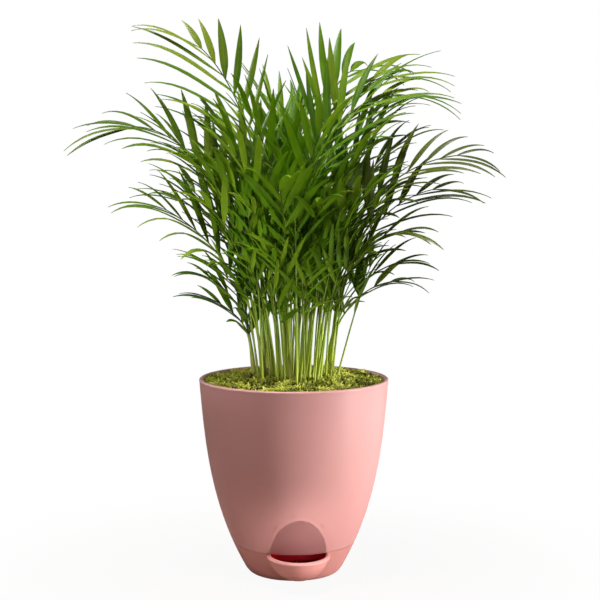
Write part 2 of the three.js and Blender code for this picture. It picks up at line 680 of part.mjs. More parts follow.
// Every stem and rib is placed first. Then each leaflet is bent or shortened where it would meet another
// frond or stem, or left out if that doesn't clear it, and at last each palm is fused.
function palms() {
  const random = seeded(21);
  const pieces = [];
  const built = STEMS.map((stem) => {
    pieces.push({ whole: bounded(sheath(stem)) });
    const fronds = stem.fronds.map((frond, order) => {
      const path = ribPath(stem, frond, order);
      const specs = leafletsOf(frond, random);
      const places = pairPlaces(frond, path, specs.length);
      const stations = [0, ...stalkStations(places), ...places.flatMap(({ start, end }) => [start, end])];
      pieces.push({ frond, whole: bounded(lofted(stations.map((share) => ribSection(path, share, CLEARANCE)))) });
      return { frond, path, specs, places };
    });
    return { stem, fronds };
  });
  const tries = SHRINKS.flatMap((shrink) => SWINGS.map((swing) => [swing, shrink]));
  for (const entry of built.flatMap(({ fronds }) => fronds)) {
    entry.pairs = entry.places.map((place, k) => {
      const spot = spotOn(entry.path, place.middle);
      const poses = entry.specs[k].map((spec) => {
        for (const [swing, shrink] of tries) {
          const pose = leafletPose(spot, spec, swing, shrink);
          const [whole, outer] = PROBE_STARTS.map((start) => leafletProbe(pose, start));
          const leaflet = { frond: entry.frond, whole, outer };
          if (fits(leaflet, pieces)) {
            pieces.push(leaflet);
            return pose;
          }
        }
        return null;
      });
      return { ...place, poses };
    });
  }
  return built.map(({ stem, fronds }) => (
    fronds.reduce((solid, { path, pairs }) => solid.add(frondSolid(path, pairs)), sheath(stem))
  ));
}

function dryStub() {
  const way = direction(...STUB.lean);
  const foot = new THREE.Vector3(STUB.at[0], STUB.at[1], SOCKET_FLOOR + GAP);
  const base = new THREE.Vector3(STUB.at[0], STUB.at[1], STEM_FOOT);
  return lofted([
    ringAt(foot, new THREE.Vector3(0, 0, 1), STUB.radius, 6),
    ringAt(base, way, STUB.radius, 6),
    ringAt(base.clone().addScaledVector(way, STUB.height), way, STUB.radius * 0.8, 6),
  ]);
}

const pottedPalm = new THREE.Group();
pottedPalm.add(meshFrom(potShell(), 'pot_shell', potPlastic));
pottedPalm.add(meshFrom(reservoirTray(), 'reservoir_tray', trayPlastic));
pottedPalm.add(meshFrom(soil(), 'soil', soilMix));
pottedPalm.add(meshFrom(moss(), 'moss', mossGreen));
palms().forEach((solid, k) => {
  const number = String(k + 1).padStart(2, '0');
  pottedPalm.add(meshFrom(solid, `palm_${number}`, frondGreen));
});
pottedPalm.add(meshFrom(dryStub(), 'dry_stub', dryStem));

export default pottedPalm;
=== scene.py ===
"""A clump of young feather palms in a self-watering planter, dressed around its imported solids."""

import math
import random

import bpy
from mathutils import Matrix, Vector, noise
from mathutils.bvhtree import BVHTree


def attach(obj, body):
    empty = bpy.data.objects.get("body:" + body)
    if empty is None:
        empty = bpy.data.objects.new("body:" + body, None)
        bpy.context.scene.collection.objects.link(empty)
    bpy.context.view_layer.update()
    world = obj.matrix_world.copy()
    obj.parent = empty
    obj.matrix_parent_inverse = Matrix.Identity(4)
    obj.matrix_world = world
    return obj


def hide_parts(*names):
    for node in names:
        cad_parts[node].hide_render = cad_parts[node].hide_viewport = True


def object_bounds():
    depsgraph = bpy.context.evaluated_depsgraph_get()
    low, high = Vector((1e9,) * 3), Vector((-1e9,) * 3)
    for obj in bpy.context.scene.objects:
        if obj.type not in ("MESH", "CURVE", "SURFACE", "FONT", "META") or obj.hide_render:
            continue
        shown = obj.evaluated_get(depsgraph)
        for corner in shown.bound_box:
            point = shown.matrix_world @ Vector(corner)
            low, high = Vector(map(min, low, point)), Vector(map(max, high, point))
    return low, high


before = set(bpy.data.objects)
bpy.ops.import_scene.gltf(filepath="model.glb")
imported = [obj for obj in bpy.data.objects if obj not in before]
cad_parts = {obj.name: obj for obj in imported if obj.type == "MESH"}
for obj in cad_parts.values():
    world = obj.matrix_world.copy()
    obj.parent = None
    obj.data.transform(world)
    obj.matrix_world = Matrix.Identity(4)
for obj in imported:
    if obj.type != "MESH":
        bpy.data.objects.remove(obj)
cad_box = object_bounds()

MM = 0.001  # everything below is in millimetres, and meshes are made in metres

# ---- the planter ----

RIM_RADIUS = 100.5
POT_HEIGHT = 209
LINEAR_TAPER = 0.17
CUBIC_TAPER = 0.354
WALL = 3
RIM_WALL = 4.6
RIM_BAND = 16
SEAM = 33.5
GAP = 0.3
SEAM_ROUND = 0.25  # how far the edges at the seam are rounded off
TOUCH = 0.12  # between the shell and the tray

FOOT_RADIUS = 41
FOOT_RISE = 8
# share of the way out, share of the rise
FOOT_CURVE = [(0, 0), (0.35, 0.1), (0.62, 0.32), (0.83, 0.65), (1, 1)]
TRAY_WALL = 2.6
SPIGOT_DEPTH = 7.5
SPIGOT_WALL = 2.4
SPIGOT_PLAY = 0.5
WELL_BOTTOM = 7
WELL_FOOT_RADIUS = 16
WELL_TOP_RADIUS = 21
WELL_WALL = 2.5
WELL_SLOT = {"width": 3, "from": 12, "to": 28}
DRAIN_HOLES = {"count": 6, "ring": 34, "radius": 2.5, "sides": 16}

NICHE = {"half_width": 29.3, "length": 45, "sink": 3, "chord": 58.1, "tilt": 28.6}
NICHE_LIP = 0.9  # how far back from its edge the hollow starts to round over
TAB = {"width": 6, "drop": 3, "thickness": 2}
SCOOP = {"radius": 31, "reach": 1.18, "depth": 27, "centre": 60, "bead": 1.8}
SCOOP_MOUTH = [(0, 1.7), (0.25, 0.9), (0.8, 0.35)]  # millimetres outwards, drop below the seam
BEAD = {"out": 0.35, "drop": 2.3, "half": 1.75}  # the bead's middle and how thick it is
FLOW = (7, 0.4)  # how softly the scoop flows into the tray below and above the next two heights
FLOW_HEIGHTS = (16, 31)
BEAD_FLOW = 0.8

POT_SIDES = 192
TRAY_ROWS = 46
POT_ROWS = 56
CREASE = 30
MOULDED_CREASE = 32

# ---- the moss ----

MOSS_EDGE = 203.5
MOSS_MOUND = 4.5
MOSS_LUMP = 1.6
MOSS_LUMP_SIZE = 17
MOSS_UNDERSIDE = 196
MOSS_RAISED = 1.2  # how much higher the real cushion is than its solid
MOSS_STRANDS = 10000
STRAND_LENGTH = (3.2, 7.6)
STRAND_WIDTH = (0.45, 0.95)
STRAND_THINNING = (1, 1.1, 0.75)  # share of its width at each of its three rings
STRAND_PAINTED_SHADE = (0.3, 0.75, 1)  # how light it is there: painted shade, darker towards its foot inside the cushion

# ---- the palms ----

SOCKET_FLOOR = 168.5
STEM_FOOT = 209
STEM_RADIUS = 3.2
SHEATH_STEP = 0.16
SHEATH_SINK = 8
SHEATH_SWELL = 0.17  # how much fatter each older frond's base is than the one it wraps
BASE_RADIUS = 2.35  # of a frond's base at the moss, and where its sheath ends
SHEATH_RADIUS = 1.75
STALK_RADIUS = 1.3
TIP_RADIUS = 0.5
TURN = 55  # of a frond's length, in which it leaves its stem's way for its own
RIB_STEPS = 48
STALK_SIDES = 10
PAIR_SPACING = (17.5, 21.5, 13.5)  # of the leading frond of a stem, of the others, and of a shoot
LEAFLET_WIDTH = (10.4, 9, 6.2)
LEAFLET_FOLD = 1.3
LEAFLET_THICKNESS = 0.5
LEAFLET_OPEN = (54, 20)
LEAFLET_RAISE = (34, 8)
LEAFLET_DROOP = (0.5, 0.9)
ROLL_LEFT = (1, 0.7)  # share of a frond's roll that its first and last leaflets have
LEAFLET_LENGTHS = (0.85, 0.66)
LEAFLET_SWELL = 0.34
LOWER_LONGER = (0.0013, 0.0042)  # for each degree of roll
LEAFLET_CURL = 0.3  # how much a leaflet sweeps towards the frond's tip
FACE_UP = 1.9  # how much a leaflet turns its upper side to the sky
STATIONS = (0, 0.05, 0.12, 0.21, 0.31, 0.42, 0.53, 0.64, 0.75, 0.85, 0.93, 0.98)
WIDTHS = [(0, 0.17), (0.08, 0.44), (0.2, 0.83), (0.35, 1), (0.55, 0.93), (0.75, 0.66), (0.9, 0.32), (1, 0.03)]
LEAFLET_ACROSS = (-1, -0.5, 0, 0.5, 1, 0.5, 0, -0.5)  # each corner's place across it
LEAFLET_UNDER = (0, 0, 0, 0, 0, 1, 1, 1)  # and whether it is on the underside
ROOTED = 2 * len(LEAFLET_ACROSS)  # corners at its root, which may be inside its rib
SWINGS = (0, 7, -7, 14, -14, 24, -24)  # how it may be bent and shortened to cross nothing
SHRINKS = (1, 0.88, 0.75, 0.6)
ROOM = [[value / MM + side * 0.2 for value in corner] for side, corner in zip((1, -1), cad_box)]

# Each leafy stem as the solids have it: where it stands, which way it leans, how tall its sheath is, and
# its fronds: heading, lean at the soil, lean at the tip, length, bend, leafed share, leaflet length, roll,
# and how much longer the leaflets are at its very tip. Not all of it was chosen by hand. A least-squares
# fit to points read off the picture gave 13 leading fronds their leans, length and bend. Another program
# added 2.5 or 4 degrees to the lean at the soil of the others, and moved two fronds clear of the rest.
STEMS = [
    ((-41, 26), (175, 6), 24, [
        (175, 8, 58, 88, 1, 0.5, 64, 40),
        (188, 6.4, 58, 117, 1.7, 0.52, 64, 45),
        (142, 11, 50, 215, 2.2, 0.55, 84, 20),
    ]),
    ((-30, 8), (200, 10), 32, [
        (200, 15.7, 63, 219, 1.6, 0.6, 92, 55),
        (165, 11, 44, 262, 2.5, 0.52, 92, 20),
        (228, 12, 56, 205, 2.2, 0.55, 80, -10),
    ]),
    ((-19, 11), (185, 10), 38, [
        (185, 17.3, 90, 321, 4.1, 0.52, 88, 65, 0.25),
        (130, 8.5, 40, 256, 3, 0.52, 92, 10),
        (212, 10.5, 58, 246, 2.6, 0.55, 88, 15),
    ]),
    ((-8, -4), (155, 6), 44, [
        (155, 7.5, 50, 369, 3.8, 0.44, 93, 75),
        (-152, 8.5, 52, 236, 2.4, 0.55, 84, 0),
        (100, 6.5, 30, 272, 3, 0.52, 92, 0),
    ]),
    ((-6, -19), (-110, 5), 30, [
        (-100, 9, 60, 226, 2.4, 0.52, 78, 0),
        (-134, 10, 50, 256, 2.4, 0.55, 88, 15),
        (-68, 8, 40, 270, 2.6, 0.55, 88, -10),
    ]),
    ((3, 8), (20, 2), 44, [
        (12, 0.5, 89, 349, 3.2, 0.48, 96, -60),
        (95, 5.5, 36, 276, 3, 0.52, 92, 0),
        (-150, 6.5, 34, 282, 3, 0.52, 92, 10),
    ]),
    ((11, -6), (50, 3), 40, [
        (52, 3.9, 77, 357, 4.5, 0.46, 110, -60),
        (-84, 7.5, 66, 214, 2.2, 0.5, 72, 0),
        (-25, 6.5, 44, 262, 2.6, 0.55, 90, -20),
    ]),
    ((26, -5), (-15, 4), 34, [
        (-14, 3.7, 86, 303, 1.8, 0.5, 74, -60, 0.1),
        (-58, 8.5, 58, 222, 2.4, 0.55, 80, -10),
        (22, 6.5, 38, 272, 2.6, 0.55, 90, -10),
    ]),
    ((37, 14), (12, 8), 26, [
        (10, 6, 81, 249, 1.9, 0.52, 82, -55),
        (15, 20, 86, 134, 2, 0.48, 62, -30),
        (54, 11, 52, 222, 2.6, 0.55, 84, 0),
    ]),
    ((38, 0), (-25, 6), 24, [
        (-30, 6.7, 87, 191, 2.6, 0.5, 76, -45),
        (-14, 4.5, 75, 148, 1.7, 0.52, 72, -35),
        (-58, 10, 52, 200, 2.2, 0.52, 74, 0),
    ]),
    ((-25, 31), (145, 7), 34, [
        (140, 11, 62, 256, 2.6, 0.52, 88, 10),
        (168, 12, 72, 220, 2.4, 0.52, 82, 15),
        (108, 9, 42, 264, 2.8, 0.52, 90, 0),
    ]),
    ((-5, 32), (95, 6), 38, [
        (95, 10, 66, 270, 2.4, 0.52, 90, 0),
        (125, 9, 44, 270, 3, 0.52, 90, 10),
        (72, 10, 76, 214, 2.2, 0.52, 78, 0),
    ]),
    ((12, 30), (70, 5), 38, [
        (68, 9, 60, 264, 2.6, 0.52, 88, 0),
        (42, 10, 70, 248, 2.4, 0.52, 86, -10),
        (105, 8, 32, 274, 3, 0.52, 90, 0),
    ]),
    ((26, 24), (20, 4), 36, [
        (20, 0.2, 82, 350, 4.5, 0.44, 98, -55),
        (38, 9.5, 72, 230, 2.2, 0.52, 82, -10),
        (-2, 6.5, 54, 262, 2.6, 0.52, 88, -20),
    ]),
    ((-7, 19), (170, 4), 46, [
        (172, 6.5, 48, 284, 3.4, 0.5, 92, 55),
        (-166, 7.5, 38, 268, 2.8, 0.55, 90, 0),
        (62, 5.5, 40, 290, 3, 0.52, 94, 0),
    ]),
    ((17, 13), (30, 3), 44, [
        (8, 6.5, 46, 300, 3, 0.5, 98, -15),
        (-42, 6.5, 50, 256, 2.6, 0.55, 90, -15),
        (150, 5.5, 26, 290, 3, 0.52, 94, 10),
    ]),
]
SHOOTS = {  # the single young fronds between the leafy stems, each a seeded draw between these
    "count": 64, "tries": 80, "ring": (5, 48), "turn": (-40, 40), "lean": (2, 13), "tip_lean": (20, 60),
    "length": (120, 235), "bend": (1.7, 3.2), "leafed": (0.4, 0.54), "leaflet": (44, 66), "roll": (-30, 30),
}
SHOOT_REACH = (92, 78)  # how far its tip may be from the middle, sideways and to the front or back
SHOOT_RADIUS = 1.15
STUB = {"at": (-27, -4), "radius": 2.4, "height": 12, "lean": (250, 6)}

# ---- colours, light and dark where there are two ----

POT_PINKS = ((0.62, 0.305, 0.288), (0.59, 0.288, 0.27))
TRAY_PINKS = ((0.62, 0.275, 0.245), (0.59, 0.26, 0.23))
# deep red painted shade for the faces inside the reservoir, in place of light bounced between pink walls
RESERVOIR_SHADE_RED = (0.66, 0.01, 0.03)
FLOOR_COLOUR = (0.42, 0.3, 0.25, 1)

# ---- camera and light, in metres ----

CAMERA = {"distance": 1.59, "height": 0.442, "azimuth": -4.3, "pitch": 5.4, "yaw": 0.235, "lens": 90.6}
SENSOR_WIDTH = 36
AMBIENT = 0.325  # share of the white background that lights the scene
FLOOR_RADIUS = 12


# ---- small helpers ----

UP = Vector((0, 0, 1))


def mix(a, b, share):
    return a + (b - a) * share


def smoothstep(value, low, high):
    share = min(max((value - low) / (high - low), 0), 1)
    return share * share * (3 - 2 * share)


def spline(points, steps):
    """Points on a smooth curve through the given (x, y) pairs."""
    ends = [points[0], *points, points[-1]]
    curve = []
    for before, start, end, after in zip(ends, ends[1:], ends[2:], ends[3:]):
        for step in range(steps):
            t = step / steps
            curve.append(tuple(
                0.5 * (2 * b + (c - a) * t + (2 * a - 5 * b + 4 * c - d) * t ** 2
                       + (3 * b - a - 3 * c + d) * t ** 3)
                for a, b, c, d in zip(before, start, end, after)
            ))
    return [*curve, points[-1]]


def along_curve(points, x):
    """The height at x of the straight lines through (x, y) pairs."""
    for (x0, y0), (x1, y1) in zip(points, points[1:]):
        if x <= x1:
            return mix(y0, y1, (x - x0) / (x1 - x0))
    return points[-1][1]


def direction(heading, lean):
    turn, tilt = math.radians(heading), math.radians(lean)
    return Vector((math.cos(turn) * math.sin(tilt), math.sin(turn) * math.sin(tilt), math.cos(tilt)))


class Shape:
    """A mesh in the making: its corners, its faces, and named numbers for each corner."""

    def __init__(self, *labels):
        self.places = []
        self.faces = []
        self.notes = {label: [] for label in labels}

    def add(self, places, faces, notes=None):
        first = len(self.places)
        self.places.extend(places)
        self.faces.extend(tuple(first + corner for corner in face) for face in faces)
        for label, values in (notes or {}).items():
            self.notes[label].extend(values)

    def piece(self, name, crease=CREASE):
        """An object of it, smooth apart from edges sharper than crease degrees."""
        mesh = bpy.data.meshes.new(name)
        mesh.from_pydata([tuple(MM * c for c in place) for place in self.places], [], self.faces)
        for label, values in self.notes.items():
            mesh.attributes.new(label, "FLOAT", "POINT").data.foreach_set("value", values)
        smooth(mesh, crease)
        return new_object(name, mesh)


def smooth(mesh, crease):
    """Smooth shading, apart from edges sharper than crease degrees."""
    mesh.polygons.foreach_set("use_smooth", [True] * len(mesh.polygons))
    mesh.set_sharp_from_angle(angle=math.radians(crease))


def new_object(name, data):
    piece = bpy.data.objects.new(name, data)
    bpy.context.scene.collection.objects.link(piece)
    return piece


def tube_faces(rings, sides):
    """Faces of a closed tube through rings of as many corners, with both ends closed."""
    faces = [tuple(reversed(range(sides)))]
    for ring in range(rings - 1):
        low = ring * sides
        for k in range(sides):
            after = (k + 1) % sides
            faces.append((low + k, low + after, low + sides + after, low + sides + k))
    faces.append(tuple(range((rings - 1) * sides, rings * sides)))
    return faces


def capped(rows, sides, first, last):
    """Faces of a tube through rows of corners whose ends are fans round the corners first and last."""
    faces = tube_faces(rows, sides)[1:-1]
    top = (rows - 1) * sides
    for k in range(sides):
        after = (k + 1) % sides
        faces.append((after, k, first))
        faces.append((top + k, top + after, last))
    return faces


def pointed(rows, sides):
    """Faces of a tube that is closed at its foot and ends in a point, the corner after its rows."""
    top = (rows - 1) * sides
    return tube_faces(rows, sides)[:-1] + [
        (top + k, top + (k + 1) % sides, rows * sides) for k in range(sides)
    ]


def turns_of(sides):
    return [2 * math.pi * k / sides for k in range(sides)]


def around(place, way, radius, sides):
    """A ring of corners square to a way, anticlockwise seen from its end."""
    across = Vector((0, 1, 0)).cross(way).normalized()
    over = way.cross(across)
    return [place + across * (radius * math.cos(t)) + over * (radius * math.sin(t)) for t in turns_of(sides)]


# ---- solids for the planter ----

def revolved(name, profile, sides=POT_SIDES):
    """A closed solid turned from (radius, height) pairs that start and end on an upright axis."""
    shape = Shape()
    rings = profile[1:-1]
    places = [(r * math.cos(t), r * math.sin(t), z) for r, z in rings for t in turns_of(sides)]
    places += [(0, 0, profile[0][1]), (0, 0, profile[-1][1])]
    shape.add(places, capped(len(rings), sides, len(places) - 2, len(places) - 1))
    return shape.piece(name)


def boxed(name, low, high):
    shape = Shape()
    shape.add(
        [(x, y, z) for z in (low[2], high[2]) for x, y in
         ((low[0], low[1]), (high[0], low[1]), (high[0], high[1]), (low[0], high[1]))],
        tube_faces(2, 4),
    )
    return shape.piece(name)


def carve(solid, tool, operation):
    """Joins a tool to a solid, or cuts it out of it, and removes the tool."""
    modifier = solid.modifiers.new("carve", "BOOLEAN")
    modifier.operation = operation
    modifier.solver = "MANIFOLD"
    modifier.object = tool
    carved = bpy.data.meshes.new_from_object(solid.evaluated_get(bpy.context.evaluated_depsgraph_get()))
    carved.name = solid.name
    solid.modifiers.clear()
    solid.data = carved
    bpy.data.objects.remove(tool)


def outside(height):
    down = 1 - height / POT_HEIGHT
    return RIM_RADIUS * (1 - LINEAR_TAPER * down - CUBIC_TAPER * down ** 3)


def inside(height):
    below = min((POT_HEIGHT - height) / RIM_BAND, 1)
    return outside(height) - mix(RIM_WALL, WALL, below)


def steps(low, high, count):
    return [mix(low, high, k / count) for k in range(count + 1)]


def side_profile():
    """The shell's outer side, from the seam to the rim, with the rim's rounded edges."""
    side = [(outside(z), z) for z in steps(SEAM + SEAM_ROUND, POT_HEIGHT - 3, POT_ROWS)]
    turns = [math.radians(turn) for turn in steps(0, 180, 14)]
    middle, half = RIM_RADIUS - RIM_WALL / 2, RIM_WALL / 2
    rim = [(middle + half * math.cos(t), POT_HEIGHT - half * 0.8 * (1 - math.sin(t))) for t in turns]
    return [(outside(SEAM) - SEAM_ROUND, SEAM), *side, *rim]


def niche_ball(thicker=0):
    """The large ball, drawn out along the shell's side, that hollows it above the scoop: how to get from
    directions to places on it."""
    half, sink, tilt = NICHE["half_width"], NICHE["sink"], math.radians(NICHE["tilt"])
    radius = (half ** 2 + sink ** 2) / (2 * sink)
    outwards = Vector((0, -math.cos(tilt), -math.sin(tilt)))
    upwards = Vector((0, -math.sin(tilt), math.cos(tilt)))
    centre = Vector((0, -NICHE["chord"], SEAM)) + outwards * (radius - sink)
    drawn = radius * NICHE["length"] / half

    def on_ball(out, turn):
        """Turn is the angle from the deepest place, and out the way in which it is turned."""
        side, up = out.x * math.sin(turn), out.z * math.sin(turn)
        place = centre - outwards * ((radius + thicker) * math.cos(turn))
        return place + Vector((side * (radius + thicker), 0, 0)) + upwards * (up * (drawn + thicker))

    return on_ball


def niche_cutter():
    """The hollow's own solid, widened where it comes out of the shell's side so that the edge there is
    rounded."""
    on_ball = niche_ball()

    def proud(place):
        return math.hypot(place.x, place.y) - outside(max(place.z, 0))

    shape = Shape()
    rings = []
    sides = 128
    for turn in turns_of(sides):
        out = Vector((math.cos(turn), 0, math.sin(turn)))
        low, high = 0, 0.5
        for _ in range(40):
            middle = (low + high) / 2
            low, high = (middle, high) if proud(on_ball(out, middle)) < 0 else (low, middle)
        edge = on_ball(out, low)
        size = (edge - on_ball(out, 0)).length
        start = low * (1 - NICHE_LIP / size)
        flat = Vector((edge.x, edge.y, 0)).normalized()
        away = (edge - on_ball(out, start)).normalized()
        end = edge + (away - flat * away.dot(flat)).normalized() * NICHE_LIP
        end += flat * (0.1 + max(0, -proud(end)))
        inner = [on_ball(out, start * step / 20) for step in range(1, 21)]
        lip = []
        for step in range(1, 7):
            t = step / 6
            lip.append(inner[-1] * (1 - t) ** 2 + edge * (2 * t * (1 - t)) + end * t ** 2)
        rings.append([*inner, *lip, end + flat * 12])
    rows = len(rings[0])
    places = [ring[row] for row in range(rows) for ring in rings]
    places += [on_ball(UP, 0), Vector((0, min(p.y for p in places) - 5, SEAM))]
    faces = capped(rows, sides, len(places) - 2, len(places) - 1)
    shape.add(places, [tuple(reversed(face)) for face in faces])
    return shape.piece("niche_cutter")


def niche_wall(side):
    """The wall behind the hollow: a slice of a thicker ball, as far as the shell's side reaches."""
    on_ball = niche_ball(WALL)
    shape = Shape()
    sides, rows = 96, 30
    places = [
        on_ball(Vector((math.cos(turn), 0, math.sin(turn))), 0.5 * row / rows)
        for row in range(1, rows + 1) for turn in turns_of(sides)
    ]
    places += [on_ball(UP, 0), Vector((0, min(p.y for p in places) - 5, SEAM))]
    faces = capped(rows, sides, len(places) - 2, len(places) - 1)
    shape.add(places, [tuple(reversed(face)) for face in faces])
    wall = shape.piece("niche_wall")
    solid = revolved("solid", [(0, SEAM), *side, (0, POT_HEIGHT)])
    carve(wall, solid, "INTERSECT")
    return wall


def pot_shell():
    side = side_profile()
    spigot = outside(SEAM - SPIGOT_DEPTH) - TRAY_WALL - SPIGOT_PLAY
    floor = SEAM + WALL
    room = [(inside(z), z) for z in steps(POT_HEIGHT - 4, floor + 2, 40)]
    shell = revolved("pot_shell_moulded", [
        (0, WELL_BOTTOM),
        (WELL_FOOT_RADIUS, WELL_BOTTOM),
        (WELL_TOP_RADIUS, SEAM),
        (spigot - SPIGOT_WALL, SEAM),
        (spigot - SPIGOT_WALL, SEAM - SPIGOT_DEPTH),
        (spigot, SEAM - SPIGOT_DEPTH),
        (spigot, SEAM),
        *side,
        *room,
        (inside(floor) - 2, floor),
        (WELL_TOP_RADIUS - WELL_WALL, floor),
        (WELL_FOOT_RADIUS - WELL_WALL, WELL_BOTTOM + WELL_WALL),
        (0, WELL_BOTTOM + WELL_WALL),
    ])
    carve(shell, niche_wall(side), "UNION")
    carve(shell, niche_cutter(), "DIFFERENCE")
    half, reach = WELL_SLOT["width"] / 2, 2 * WELL_TOP_RADIUS
    low, high = WELL_SLOT["from"], WELL_SLOT["to"]
    carve(shell, boxed("slot", (-half, -reach, low), (half, reach, high)), "DIFFERENCE")
    carve(shell, boxed("slot", (-reach, -half, low), (reach, half, high)), "DIFFERENCE")
    for k in range(DRAIN_HOLES["count"]):
        turn = (k + 0.5) * 2 * math.pi / DRAIN_HOLES["count"]
        hole = Shape()
        middle = Vector((math.sin(turn), math.cos(turn), 0)) * DRAIN_HOLES["ring"]
        low_end, high_end = (
            around(middle + UP * z, UP, DRAIN_HOLES["radius"], DRAIN_HOLES["sides"])
            for z in (SEAM - WALL, SEAM + 2 * WALL)
        )
        hole.add([*low_end, *high_end], tube_faces(2, DRAIN_HOLES["sides"]))
        carve(shell, hole.piece("hole"), "DIFFERENCE")
    back = NICHE["sink"] / math.cos(math.radians(NICHE["tilt"])) - NICHE["chord"]
    tab = boxed("tab", (-TAB["width"] / 2, back, SEAM - TAB["drop"]),
                (TAB["width"] / 2, back + TAB["thickness"], SEAM + WALL - 1))
    carve(shell, tab, "UNION")
    smooth(shell.data, MOULDED_CREASE)

    # faces under the seam, apart from the tab, are inside the reservoir and get the deep red painted shade
    def under(place):
        on_tab = abs(place.x) < 0.51 * TAB["width"] and abs(place.y - back - 1) < TAB["thickness"]
        return place.z < SEAM + 0.05 and not on_tab

    note_reservoir_shade(shell, under)
    return shell


FOOT_SPLINE = spline(FOOT_CURVE, 5)
FOOT_SIDE = [(FOOT_RISE * rise, mix(FOOT_RADIUS, outside(FOOT_RISE), share)) for share, rise in FOOT_SPLINE]


def tray_bowl(name, wall, top):
    """The round room inside the tray."""
    spread = outside(FOOT_RISE) - FOOT_RADIUS
    foot = [(FOOT_RADIUS + spread * x - wall, wall + FOOT_RISE * z) for x, z in FOOT_SPLINE]
    side = [(outside(z) - wall, z) for z in steps(FOOT_RISE + wall + 1, top, 14)]
    return revolved(name, [(0, wall), *foot, *side, (0, top)])


def scoop_hollow(above):
    """What the scoop holds: half an ellipsoid, drawn in by a wall, with a rounded mouth."""
    radius, depth = SCOOP["radius"] - TRAY_WALL, SCOOP["depth"] - TRAY_WALL
    turns = [math.radians(turn) for turn in steps(90, 8, 24)]
    bowl = [(radius * math.cos(turn), SEAM - depth * math.sin(turn)) for turn in turns]
    bowl[0] = (0, bowl[0][1])
    lip = [(radius + out, SEAM - drop) for out, drop in spline(SCOOP_MOUTH, 3)]
    lip.append((lip[-1][0], above))
    solid = revolved("scoop_hollow", [*bowl, *lip, (0, above)], 144)
    solid.data.transform(Matrix.Diagonal((1, SCOOP["reach"], 1, 1)))
    solid.data.transform(Matrix.Translation((0, -MM * SCOOP["centre"], 0)))
    return solid


def tray_depth(x, y, z):
    """How far a place is outside the tray (roughly, in millimetres; less than nothing inside it): the round
    tray, with the scoop and its bead flowing into it."""
    tray = math.hypot(x, y) - (along_curve(FOOT_SIDE, z) if z < FOOT_RISE else outside(z))
    across = math.hypot(x, (y + SCOOP["centre"]) / SCOOP["reach"])
    down = SEAM - z
    bowl = (math.hypot(across / SCOOP["radius"], down / SCOOP["depth"]) - 1) * SCOOP["radius"]
    bead = math.hypot(across - SCOOP["radius"] - BEAD["out"], down - BEAD["drop"]) - BEAD["half"]
    scoop = flowing(bowl, bead, BEAD_FLOW)
    return flowing(tray, scoop, mix(*FLOW, smoothstep(z, *FLOW_HEIGHTS)))


def flowing(a, b, softness):
    """The lesser of two depths, with the crease between them filled."""
    near = max(softness - abs(a - b), 0) / softness
    return min(a, b) - near * near * softness / 4


def tray_outside(top):
    """The tray's outer surface with its scoop, as rows of corners from the foot up to the seam."""
    turns, turn = [], 0
    while turn < 360:
        turns.append(turn)
        turn += 0.75 if 225 <= turn < 315 else 2.5
    rows = [FOOT_RISE * rise for _, rise in FOOT_SPLINE[:-1]]
    rows += steps(FOOT_RISE, top - 5, TRAY_ROWS - 12) + [top - 5 * (1 - k / 12) ** 2 for k in range(1, 12)]
    rows.append(top - 0.02)
    places = []
    for z in rows:
        for turn in turns:
            x, y = math.cos(math.radians(turn)), math.sin(math.radians(turn))
            far = SCOOP["centre"] + SCOOP["radius"] * SCOOP["reach"] if 225 <= turn <= 315 else outside(z)
            far += FLOW[0]
            while tray_depth(x * far, y * far, z) > 0:
                far -= 2
            low, high = far, far + 2
            for _ in range(16):
                middle = (low + high) / 2
                low, high = (low, middle) if tray_depth(x * middle, y * middle, z) > 0 else (middle, high)
            places.append((x * low, y * low, z))
    sides = len(turns)
    inset = [(x * 0.997, y * 0.997, top) for x, y, _ in places[-sides:]]
    places += [*inset, (0, 0, 0), (0, 0, top)]
    shape = Shape()
    shape.add(places, capped(len(rows) + 1, sides, len(places) - 2, len(places) - 1))
    return shape.piece("reservoir_tray_moulded", MOULDED_CREASE)


def reservoir_tray():
    above = SEAM + WALL
    tray = tray_outside(SEAM - TOUCH)
    carve(tray, tray_bowl("hollow", TRAY_WALL, above), "DIFFERENCE")
    carve(tray, scoop_hollow(above), "DIFFERENCE")
    smooth(tray.data, MOULDED_CREASE)
    # the tray's faces inside the reservoir get the deep red painted shade
    note_reservoir_shade(tray, lambda place: tray_depth(*place) < -0.65 * TRAY_WALL and place.z < SEAM - 1.2)
    return tray


def note_reservoir_shade(piece, is_inner):
    """Notes which faces are inside the reservoir, where the plastic is painted a deep red shade."""
    notes = piece.data.attributes.new("inner", "FLOAT", "FACE")
    notes.data.foreach_set("value", [float(is_inner(face.center / MM)) for face in piece.data.polygons])


# ---- moss ----

def moss_height(x, y):
    share = math.hypot(x, y) / inside(MOSS_EDGE)
    lump = noise.noise(Vector((x, y, 0)) / MOSS_LUMP_SIZE) + 0.5 * noise.noise(Vector((x, y, 50)) / 6)
    mound = MOSS_EDGE + MOSS_RAISED + MOSS_MOUND * (1 - share ** 2)
    return mound + 1.4 * MOSS_LUMP * max(-1, min(1, 1.6 * lump)) * (1 - 0.7 * share ** 8)


